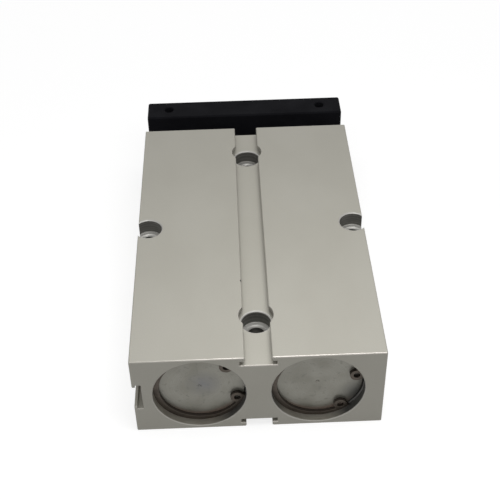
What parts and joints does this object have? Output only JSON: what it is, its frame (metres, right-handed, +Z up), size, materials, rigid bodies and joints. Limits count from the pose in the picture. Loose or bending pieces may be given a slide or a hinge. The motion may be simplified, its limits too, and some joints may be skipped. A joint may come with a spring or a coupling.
{
  "type": "twin rod pneumatic cylinder",
  "caption": "Flat double-bore air cylinder: aluminium block with T-slots and counterbored mounting holes, guided rods joined by a black front plate with a stroke adjusting bolt.",
  "frame": {"origin": "under the middle of the retracted cylinder, on the plane of the block's base", "axes": "+Y along the rods towards the front plate, +Z up from the base, +X to the side with the air ports"},
  "size_m": [0.094, 0.1898, 0.038],
  "materials": {
    "body_aluminium": "fine-blasted natural anodising",
    "cap_aluminium": "turned, anodised, slightly stained",
    "cover_aluminium": "turned and anodised",
    "spring_steel": "dark phosphated spring steel",
    "seal_rubber": "nitrile rubber",
    "urethane": "dark urethane",
    "bush_bronze": "sintered bronze",
    "rod_chrome": "hard chrome, ground",
    "piston_aluminium": "turned",
    "wear_plastic": "filled PTFE",
    "magnet_compound": "bonded magnet",
    "plate_black": "black anodising, satin",
    "screw_black": "black oxide",
    "zinc_steel": "bright zinc plate"
  },
  "bodies": {
    "barrel": {"cylinder_body": "body_aluminium", "rear_cap_left": "cap_aluminium", "rear_cap_right": "cap_aluminium", "rear_cap_o_ring_left": "seal_rubber", "rear_cap_o_ring_right": "seal_rubber", "rear_circlip_left": "spring_steel", "rear_circlip_right": "spring_steel", "rear_bumper_left": "urethane", "rear_bumper_right": "urethane", "front_cover_left": "cover_aluminium", "front_cover_right": "cover_aluminium", "front_cover_o_ring_left": "seal_rubber", "front_cover_o_ring_right": "seal_rubber", "rod_bush_left": "bush_bronze", "rod_bush_right": "bush_bronze", "rod_seal_left": "seal_rubber", "rod_seal_right": "seal_rubber", "front_circlip_left": "spring_steel", "front_circlip_right": "spring_steel", "front_bumper_left": "urethane", "front_bumper_right": "urethane"},
    "carriage": {"front_plate": "plate_black", "piston_rod_left": "rod_chrome", "piston_rod_right": "rod_chrome", "piston_left": "piston_aluminium", "piston_right": "piston_aluminium", "piston_seal_left": "seal_rubber", "piston_seal_right": "seal_rubber", "wear_ring_left": "wear_plastic", "wear_ring_right": "wear_plastic", "piston_magnet_left": "magnet_compound", "piston_magnet_right": "magnet_compound", "magnet_washer_left": "piston_aluminium", "magnet_washer_right": "piston_aluminium", "piston_screw_left": "screw_black", "piston_screw_right": "screw_black", "plate_screw_left": "screw_black", "plate_screw_right": "screw_black", "lock_nut": "zinc_steel"},
    "stop_bumper": {"adjuster_bumper": "urethane"},
    "stop_bolt": {"adjusting_bolt": "zinc_steel"}
  },
  "joints": [
    {"name": "rod_slide", "type": "slide", "parent": "barrel", "child": "carriage", "axis": [0, 1, 0], "range_m": [0, 0.075]},
    {"name": "stop_feed", "type": "slide", "parent": "carriage", "child": "stop_bumper", "axis": [0, -1, 0], "range_m": [0, 0.01]},
    {"name": "stop_turn", "type": "hinge", "parent": "stop_bumper", "child": "stop_bolt", "pos_m": [0, 0.0751, 0.019], "axis": [0, -1, 0], "range_deg": [0, 2880]}
  ],
  "couplings": [
    {"joint": "stop_turn", "follows": "stop_feed", "rad_per_m": 5026.5}
  ]
}
